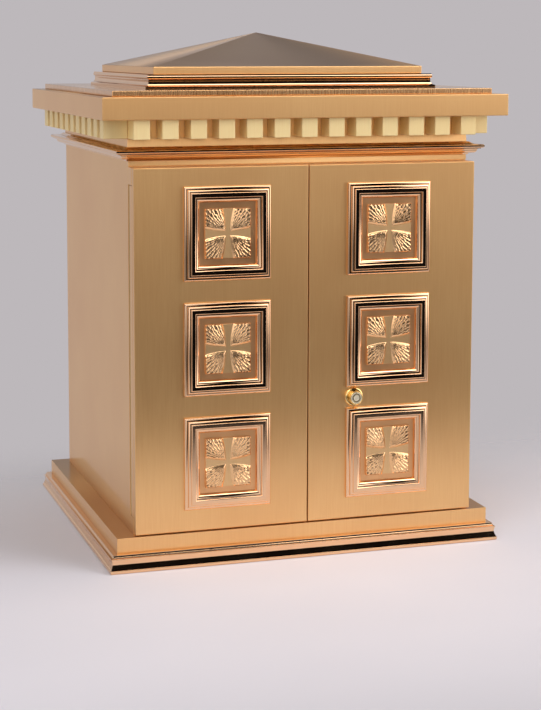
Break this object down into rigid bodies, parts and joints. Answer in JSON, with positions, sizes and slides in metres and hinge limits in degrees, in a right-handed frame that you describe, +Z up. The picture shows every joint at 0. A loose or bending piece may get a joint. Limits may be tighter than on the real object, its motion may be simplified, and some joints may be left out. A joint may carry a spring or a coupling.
{
  "type": "tabernacle box",
  "caption": "Bronze tabernacle cabinet with moulded plinth, dentilled cornice, low hipped roof and two side-hung doors bearing framed cross medallions and a tubular lock.",
  "frame": {"origin": "under the middle of the cabinet, on the surface that the base stands on", "axes": "+Z up, the doors face -Y, +X is to the right of someone facing the doors"},
  "size_m": [0.472, 0.408, 0.59],
  "materials": {
    "satin_bronze": "satin, fine vertical grain, lacquered",
    "polished_bronze": "high polish",
    "dentil_bronze": "satin",
    "gilt_bronze": "gilt, engraved and burnished",
    "lining_wood": "oiled veneer",
    "hinge_brass": "brushed",
    "bolt_brass": "turned",
    "lock_brass": "turned and polished",
    "nickel_plate": "nickel plated",
    "plain_steel": "zinc plated"
  },
  "bodies": {
    "cabinet": {"anchor_sleeves": "plain_steel", "back_panel": "satin_bronze", "base_moulding": "polished_bronze", "base_plate": "plain_steel", "cabinet_ceiling": "satin_bronze", "cabinet_floor": "satin_bronze", "cornice": "satin_bronze", "crown_moulding": "polished_bronze", "dentils_back": "dentil_bronze", "dentils_front": "dentil_bronze", "dentils_left": "dentil_bronze", "dentils_right": "dentil_bronze", "door_frame": "satin_bronze", "frieze": "dentil_bronze", "hinge_frame_screws": "hinge_brass", "left_hinge_frame_leaf": "hinge_brass", "left_hinge_pin": "hinge_brass", "left_side_panel": "satin_bronze", "lining_back": "lining_wood", "lining_floor": "lining_wood", "lining_sides": "lining_wood", "plinth": "satin_bronze", "right_hinge_frame_leaf": "hinge_brass", "right_hinge_pin": "hinge_brass", "right_side_panel": "satin_bronze", "roof": "satin_bronze", "roof_moulding": "polished_bronze", "step_plate": "satin_bronze"},
    "left_door": {"bolt_guides": "bolt_brass", "left_door_pan": "satin_bronze", "left_door_skin": "satin_bronze", "left_hinge_door_leaf": "hinge_brass", "left_hinge_door_screws": "hinge_brass", "left_medallion_studs": "plain_steel", "medallion_frame_left_bottom": "polished_bronze", "medallion_frame_left_middle": "polished_bronze", "medallion_frame_left_top": "polished_bronze", "medallion_plaque_left_bottom": "gilt_bronze", "medallion_plaque_left_middle": "gilt_bronze", "medallion_plaque_left_top": "gilt_bronze"},
    "right_door": {"lock_body": "lock_brass", "lock_nut": "plain_steel", "lock_rosette": "lock_brass", "medallion_frame_right_bottom": "polished_bronze", "medallion_frame_right_middle": "polished_bronze", "medallion_frame_right_top": "polished_bronze", "medallion_plaque_right_bottom": "gilt_bronze", "medallion_plaque_right_middle": "gilt_bronze", "medallion_plaque_right_top": "gilt_bronze", "right_door_pan": "satin_bronze", "right_door_skin": "satin_bronze", "right_hinge_door_leaf": "hinge_brass", "right_hinge_door_screws": "hinge_brass", "right_medallion_studs": "plain_steel"},
    "lock_cam_group": {"lock_plug": "nickel_plate", "lock_cam": "plain_steel", "lock_cam_screw": "plain_steel"},
    "upper_bolt_group": {"upper_bolt": "bolt_brass"},
    "lower_bolt_group": {"lower_bolt": "bolt_brass"}
  },
  "joints": [
    {"name": "left_door_hinge", "type": "hinge", "parent": "cabinet", "child": "left_door", "pos_m": [-0.1978, -0.1712, 0.24], "axis": [0, 0, -1], "range_deg": [0, 105]},
    {"name": "right_door_hinge", "type": "hinge", "parent": "cabinet", "child": "right_door", "pos_m": [0.1978, -0.1712, 0.24], "axis": [0, 0, 1], "range_deg": [0, 105]},
    {"name": "lock_turn", "type": "hinge", "parent": "right_door", "child": "lock_cam_group", "pos_m": [0.055, -0.188, 0.1787], "axis": [0, 1, 0], "range_deg": [0, 90]},
    {"name": "upper_bolt_slide", "type": "slide", "parent": "left_door", "child": "upper_bolt_group", "axis": [0, 0, 1], "range_m": [0, 0.012]},
    {"name": "lower_bolt_slide", "type": "slide", "parent": "left_door", "child": "lower_bolt_group", "axis": [0, 0, -1], "range_m": [0, 0.012]}
  ]
}
